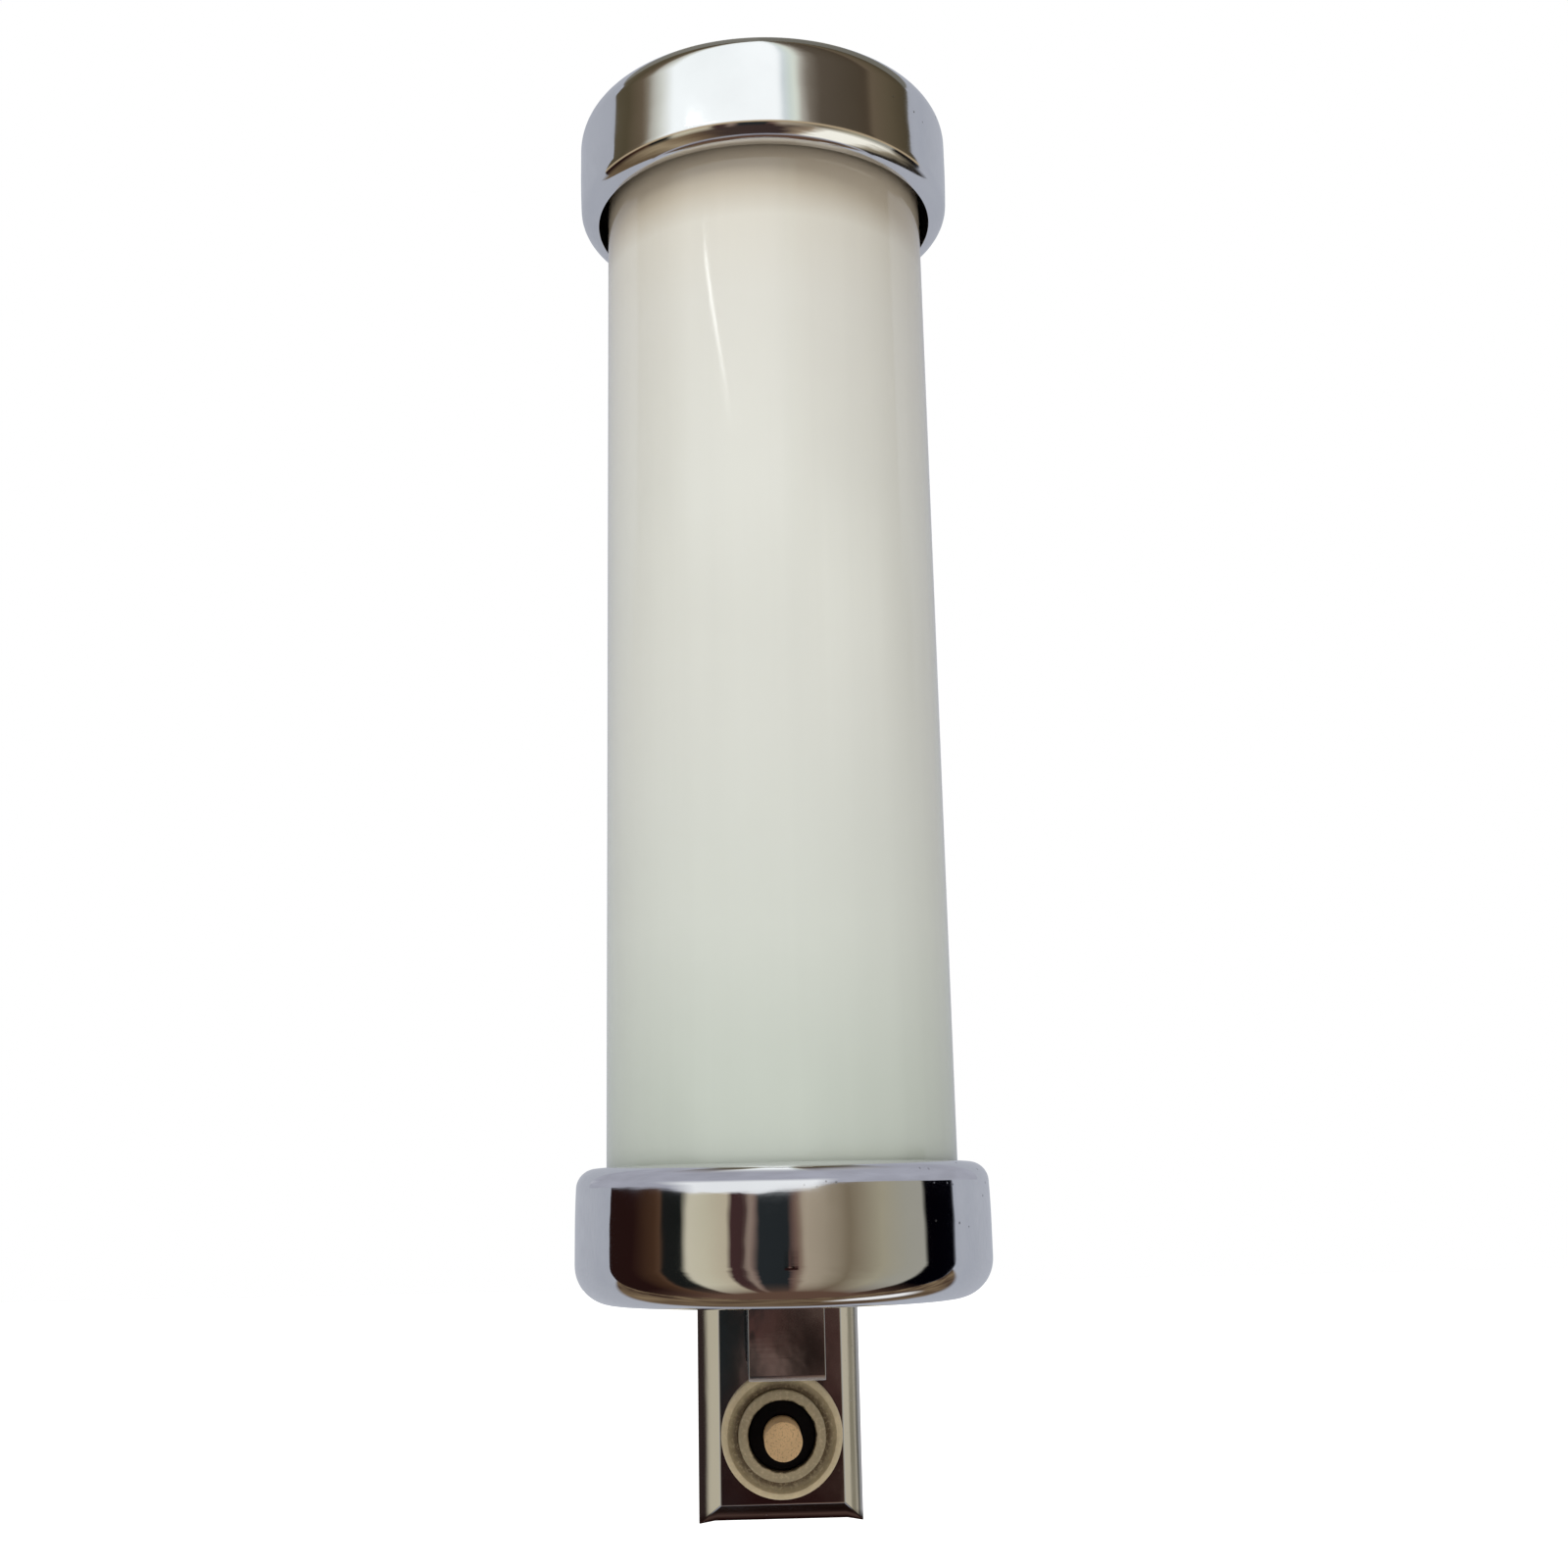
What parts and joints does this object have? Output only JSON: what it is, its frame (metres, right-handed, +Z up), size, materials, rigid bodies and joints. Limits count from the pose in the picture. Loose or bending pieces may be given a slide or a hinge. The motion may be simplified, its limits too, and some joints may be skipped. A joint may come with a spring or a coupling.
{
  "type": "wall light",
  "caption": "Upright opal glass tube light between chromed end caps, carried on an arm in front of a bevelled wall tray with a push switch below.",
  "frame": {"origin": "on the wall plane, midway between the two wall screws, at half the height of the light over its caps", "axes": "+Z up along the glass tube, -Y out from the wall towards the viewer, +Y into the wall, +X to the right seen from the front"},
  "size_m": [0.07, 0.091, 0.2747],
  "materials": {
    "chrome": "polished plating with light wear",
    "tray_chrome": "polished plating on folded sheet",
    "zinc_steel": "zinc plated",
    "brass": "turned and dull",
    "opal_glass": "opal white, fire polished, softly glossy",
    "clear_glass": "clear",
    "tungsten": "drawn wire",
    "spring_steel": "drawn wire",
    "porcelain": "glazed",
    "grey_rubber": "moulded, aged",
    "black_rubber": "moulded",
    "cream_bakelite": "aged cream moulding, satin",
    "tan_bakelite": "aged tan moulding, speckled",
    "black_bakelite": "black moulding",
    "brown_cotton": "braided cover",
    "blue_cotton": "braided cover"
  },
  "bodies": {
    "base": {"mounting_bar": "zinc_steel", "arm": "chrome", "arm_insert": "brass", "arm_screws": "zinc_steel", "wall_tray": "tray_chrome", "tray_screws": "chrome", "terminal_block": "porcelain", "terminal_screws": "brass", "block_screw": "zinc_steel", "earth_screw": "brass", "cable_grommet": "black_rubber", "live_wire": "brown_cotton", "switch_wire": "brown_cotton", "neutral_wire": "blue_cotton", "bottom_cap": "chrome", "lower_seat": "grey_rubber", "inner_frame": "zinc_steel", "nipple": "brass", "nipple_nut": "brass", "lampholder": "porcelain", "screw_shell": "brass", "centre_contact": "brass", "holder_screws": "brass", "top_stud": "brass", "stud_nuts": "brass", "switch_body": "black_bakelite", "switch_neck": "cream_bakelite", "switch_ring": "cream_bakelite", "switch_terminals": "brass", "button_spring": "spring_steel"},
    "glass": {"glass_tube": "opal_glass"},
    "upper_cap": {"upper_seat": "grey_rubber", "top_cap": "chrome", "cap_washer": "chrome"},
    "finial": {"finial_nut": "chrome"},
    "lamp": {"lamp_cap": "brass", "lamp_bulb": "clear_glass", "lamp_stem": "clear_glass", "lamp_filament": "tungsten"},
    "button": {"push_button": "tan_bakelite"}
  },
  "joints": [
    {"name": "button_press", "type": "slide", "parent": "base", "child": "button", "axis": [0, 1, 0], "range_m": [0, 0.0035], "stiffness_N_per_m": 400, "springref_m": -0.002, "deforming": ["button_spring"]},
    {"name": "glass_lift", "type": "slide", "parent": "base", "child": "glass", "axis": [0, 0, 1], "range_m": [0, 0.226]},
    {"name": "cap_lift", "type": "slide", "parent": "glass", "child": "upper_cap", "axis": [0, 0, 1], "range_m": [0, 0.034]},
    {"name": "finial_turn", "type": "hinge", "parent": "upper_cap", "child": "finial", "pos_m": [0, -0.056, 0.115], "axis": [0, 0, 1], "continuous": true},
    {"name": "lamp_turn", "type": "hinge", "parent": "base", "child": "lamp", "pos_m": [0, -0.056, -0.08], "axis": [0, 0, 1], "continuous": true}
  ]
}
